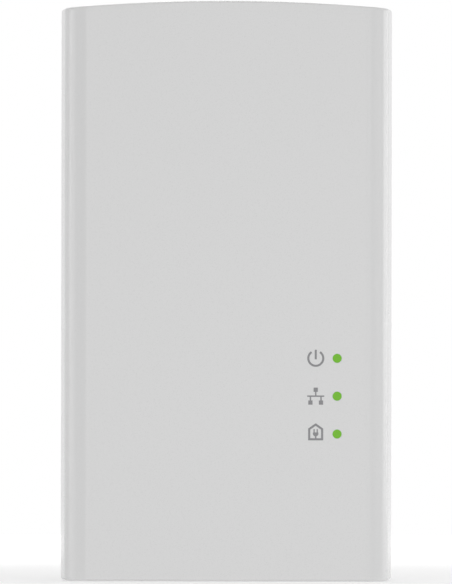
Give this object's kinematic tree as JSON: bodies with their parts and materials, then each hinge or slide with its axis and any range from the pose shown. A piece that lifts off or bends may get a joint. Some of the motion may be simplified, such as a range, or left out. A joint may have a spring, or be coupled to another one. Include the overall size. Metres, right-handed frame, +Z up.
{
  "type": "powerline network adapter",
  "caption": "Plug-in powerline adapter: tall grey two-shell housing with a grounded wall plug behind, status lights on the face, and a network jack, pair key and reset hole underneath.",
  "frame": {"origin": "midway between the two blades, on the plug's wall face", "axes": "+X to the right as seen from the front, +Y out of the plug's wall face towards the wall, +Z up along the housing"},
  "size_m": [0.068, 0.0546, 0.1188],
  "materials": {
    "grey_shell": "fine satin moulding in light grey",
    "rear_shell": "fine-grained moulding in pale grey",
    "plug_block": "smooth moulding",
    "plug_metal": "nickel plated",
    "screw_steel": "zinc plated",
    "light_window": "clear moulding lit green from behind",
    "lamp": "clear cap",
    "button_cap": "satin",
    "plunger": "satin",
    "black_moulding": "satin",
    "jack_metal": "tin plated",
    "gold_contact": "gold flash",
    "circuit_board": "solder mask",
    "pad": "soft pad",
    "sink_metal": "extruded",
    "film": "polyester film",
    "ferrite": "ground ferrite",
    "copper_wire": "enamelled copper wire",
    "winding_tape": "yellow tape or case",
    "blue_coating": "dipped coating",
    "can_sleeve": "shrink sleeve",
    "fuse_case": "moulded case"
  },
  "bodies": {
    "housing": {"front_cover": "grey_shell", "rear_cover": "rear_shell", "cover_screws": "screw_steel", "plug_insert": "plug_block", "line_blade": "plug_metal", "neutral_blade": "plug_metal", "earth_pin": "plug_metal", "light_guide": "light_window", "status_lights": "lamp", "pair_switch": "black_moulding", "reset_switch": "black_moulding", "jack_shield": "jack_metal", "jack_insert": "black_moulding", "jack_contacts": "gold_contact", "main_board": "circuit_board", "main_board_screws": "screw_steel", "powerline_chip": "black_moulding", "thermal_pad": "pad", "heat_sink": "sink_metal", "memory_chip": "black_moulding", "flash_chip": "black_moulding", "ethernet_chip": "black_moulding", "ethernet_transformer": "black_moulding", "clock_crystal": "jack_metal", "line_driver_chip": "black_moulding", "supply_inductor": "ferrite", "insulator_sheet": "film", "board_link_bars": "black_moulding", "board_link_pins": "gold_contact", "power_board": "circuit_board", "power_board_screws": "screw_steel", "fuse": "fuse_case", "varistor": "blue_coating", "x_capacitor": "winding_tape", "y_capacitor": "blue_coating", "choke_core": "ferrite", "choke_windings": "copper_wire", "bridge_rectifier": "black_moulding", "bulk_capacitors": "can_sleeve", "transformer_core": "ferrite", "transformer_bobbin": "black_moulding", "transformer_winding": "winding_tape", "power_controller": "black_moulding", "optocoupler": "black_moulding", "output_rectifier": "black_moulding", "output_capacitors": "can_sleeve", "coupling_transformer": "ferrite"},
    "pair_key": {"pair_button": "button_cap", "pair_plunger": "plunger"},
    "reset_key": {"reset_plunger": "plunger"}
  },
  "joints": [
    {"name": "pair_press", "type": "slide", "parent": "housing", "child": "pair_key", "axis": [0, 0, 1], "range_m": [0, 0.0004], "stiffness_N_per_m": 4000},
    {"name": "reset_press", "type": "slide", "parent": "housing", "child": "reset_key", "axis": [0, 0, 1], "range_m": [0, 0.0004], "stiffness_N_per_m": 4000}
  ]
}
